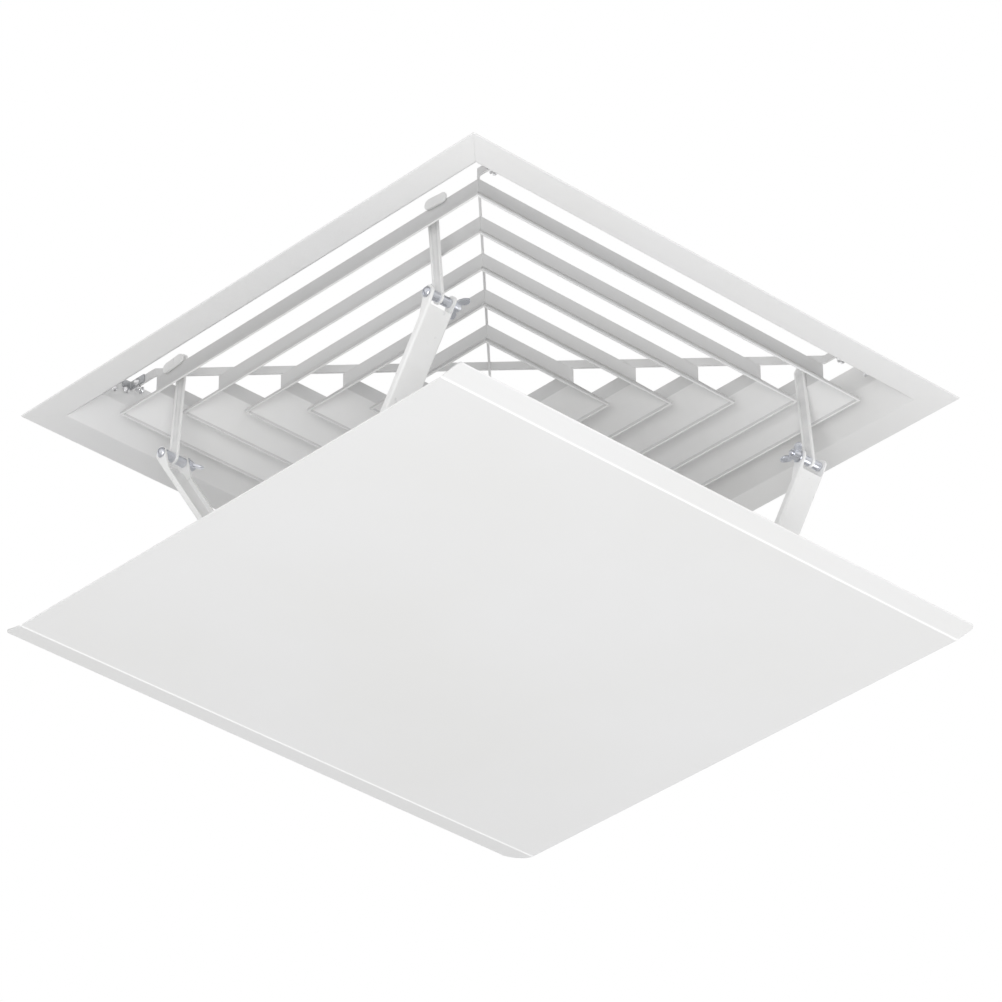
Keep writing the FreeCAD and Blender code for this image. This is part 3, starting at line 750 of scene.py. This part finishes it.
def foam(name):
    """Closed-cell foam tape: off-white, matt and finely pitted."""
    tape = Finish(name)
    cells = tape.noise(1400.0, 4.0)
    tone = tape.blend(tape.spread(cells, 0.0, 1.0), (0.70, 0.70, 0.68, 1), (0.84, 0.84, 0.82, 1))
    tape.relief((cells, 0.00015))
    return tape.done(tone, tape.spread(cells, 0.80, 0.95))


foam_tape = (foam("foam_tape"), "foam_tape")
footprint = [(-LUG_OUT, -12), (LUG_OUT, -12), (LUG_OUT, 12), (-LUG_OUT, 12)]
pads = []
for arm in ARMS:
    foot = pivots(arm)[2]
    heads = rivet("foot_axle_" + arm, 2 * LINK_HALF, shank=2.0, head=3.5, rise=1.25)
    fit(set_at(heads, arm, foot), "link_" + arm, zinc_hardware, "foot_pin_" + arm)
    base_plan = rounded(footprint, [1.6] * 4)
    base = blank("bracket_" + arm, [p * MM for p in base_plan], 2 * MM, edge=0.3 * MM, along="Z")
    base.data.transform(Matrix.Translation((0, 0, (1 - FOOT_UP) * MM)))
    for hand in (-1, 1):
        view = rounded([(-5.5, 5.5), (5.5, 5.5), (8, -FOOT_UP), (-8, -FOOT_UP)], [5.3, 5.3, 0, 0])
        lug = blank("lug", [p * MM for p in view], LUG_WALL * MM, edge=0.3 * MM)
        carve(base, moved(lug, Matrix.Translation((hand * (LUG_OUT - LUG_WALL / 2) * MM, 0, 0))), "UNION")
    slack = 0.01 if arm == "back_left" else 1.5
    hole = blank("hole", stadium(2.06, (-slack, 0), (slack, 0)), 40 * MM, edge=0)
    carve(base, hole)
    fit(set_at(base, arm, foot), "plate", galvanised_sheet, "foot_bracket_" + arm)
    pad_plan = rounded(footprint, [0.6] * 4)
    pad = blank("pad", [p * MM for p in pad_plan], PAD * MM, edge=0.15 * MM, along="Z")
    pad.data.transform(Matrix.Translation((0, 0, (-PAD / 2 - FOOT_UP) * MM)))
    pads.append(set_at(pad, arm, foot))
fit(joined("tape_pads", pads), "plate", foam_tape, "foot_pads")

# ------------------------------------------------------------------ deflector plate
# A large flat aluminium sheet under the vanes turns the air sideways. Along its front and back a folded
# strip rises a little, with a small stiffening bead in the crease and a painted highlight along it; smooth
# satin white.
plate_coat = (powder_coat("plate_powder_coat", 0.79, peel=0.00003), "plate_powder_coat")
plate_low, plate_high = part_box("deflector_plate")
sheet = 1.5 * MM
crease, rise = 270 * MM, math.radians(10)
edge_y = crease + 23 * MM * math.cos(rise)
underside = plate_low.z
CORNERS = {(-1, -1): 3 * MM, (-1, 1): 6 * MM, (1, -1): 6 * MM, (1, 1): 21 * MM}


def strip_height(y):
    """Height of the sheet's underside above its flat part."""
    bead = 0.35 * MM * math.exp(-((abs(y) - crease) / (0.9 * MM)) ** 2)
    return max(0.0, abs(y) - crease) * math.tan(rise) - bead


def end_x(side, y):
    """Where the sheet ends at this station, with the corners of the strips rounded off."""
    radius = CORNERS[(side, 1 if y > 0 else -1)]
    past = max(0.0, abs(y) - (edge_y - radius))
    return side * (plate_high.x - radius + math.sqrt(max(0.0, radius ** 2 - min(past, radius) ** 2)))


stations = [-crease + 2 * crease * k / 40 for k in range(41)]
for k in range(1, 31):
    stations += [crease + (edge_y - crease) * math.sin(math.pi / 2 * k / 30)]
    stations += [-stations[-1]]
stations += [s * (crease + d * 0.45 * MM) for s in (-1, 1) for d in (-5, -4, -3, -2, -1, 1, 2, 3)]
stations = sorted(set(round(y, 7) for y in stations))
rings = []
for share, thin in ((1.0, 0.35), (1.0, 0.8), (0.9995, 1.0), (0.5, 1.0), (0.0, 1.0)):
    for side in (-1, 1):
        ring = []
        for face in (0, 1):
            for y in (stations if face == 0 else stations[::-1]):
                near_edge = min(1.0, 0.35 + (edge_y - abs(y)) / (0.7 * MM))
                middle_z = underside + strip_height(y) + sheet / 2
                z = middle_z + (face - 0.5) * sheet * thin * near_edge
                trim = 0.4 * MM if share == 1.0 and thin > 0.5 else 0.0
                ring.append(Vector(((end_x(side, y) - side * trim) * share, y, z)))
        rings.append(ring)
rings.sort(key=lambda ring: sum(point.x for point in ring))
del rings[len(rings) // 2]
plate = piece_of("plate", skin(rings), 30)
# Mark each crease for the painted highlight in the coat.
folded = plate.data.attributes.new("fold_highlight", "FLOAT", "POINT")
for vert, mark in zip(plate.data.vertices, folded.data):
    mark.value = math.exp(-((abs(vert.co.y) - crease) / (1.1 * MM)) ** 2)
fit(plate, "plate", plate_coat, "deflector_plate")

# ------------------------------------------------------------------ floor, light and camera
# A pale floor far below the ceiling line, a white surround that is dark overhead, and
# three large soft lights. The camera stands low and looks up from the front left.
room = bmesh.new()
bmesh.ops.create_grid(room, x_segments=4, y_segments=4, size=90.0)
floor = piece_of("floor", room)
floor.location.z = -6.5
pale = Finish("pale_floor")
floor.data.materials.append(pale.done(pale.blend(pale.spread(pale.noise(0.5), 0.0, 1.0),
                                                 (0.89, 0.89, 0.89, 1), (0.93, 0.93, 0.93, 1)), 0.8))

surround = bpy.data.worlds.new("surround")
surround.use_nodes = True
sky, glow = surround.node_tree, surround.node_tree.nodes["Background"]
way = sky.nodes.new("ShaderNodeSeparateXYZ")
sky.links.new(sky.nodes.new("ShaderNodeTexCoord").outputs["Generated"], way.inputs["Vector"])
overhead = sky.nodes.new("ShaderNodeMapRange")
for socket, number in (("From Min", 0.65), ("From Max", 0.75), ("To Min", 1.0), ("To Max", 0.15)):
    overhead.inputs[socket].default_value = number
sky.links.new(way.outputs["Z"], overhead.inputs["Value"])
sky.links.new(overhead.outputs["Result"], glow.inputs["Strength"])
glow.inputs["Color"].default_value = (1, 1, 1, 1)
bpy.context.scene.world = surround
bpy.context.scene.view_settings.view_transform = "Standard"


def soft_light(name, location, aim, size, power):
    """Large square lamp pointed at a spot."""
    lamp = bpy.data.lights.new(name, "AREA")
    lamp.size, lamp.energy = size, power
    holder = bpy.data.objects.new(name, lamp)
    holder.location = location
    holder.rotation_euler = (Vector(aim) - Vector(location)).to_track_quat("-Z", "Y").to_euler()
    bpy.context.scene.collection.objects.link(holder)


middle_of_all = (cad_box[0] + cad_box[1]) / 2
soft_light("key", (2.3, -1.0, -1.6), middle_of_all, 1.6, 21.0)
soft_light("fill", (-2.6, -2.3, -2.1), middle_of_all, 1.8, 67.0)
soft_light("low", (-0.9, -0.7, -2.7), middle_of_all, 1.8, 19.0)

lens = bpy.data.cameras.new("view")
lens.sensor_width, lens.lens = 36.0, 209.25
camera = bpy.data.objects.new("view", lens)
stand = (-2.9994, -3.1855, -2.8433)
sight, across = Vector((0.58222, 0.61552, 0.53119)), Vector((0.72790, -0.68568, -0.00329))
turned_to = Matrix((across, across.cross(sight), -sight)).transposed().to_4x4()
camera.matrix_world = Matrix.Translation(stand) @ turned_to
bpy.context.scene.collection.objects.link(camera)
bpy.context.scene.camera = camera
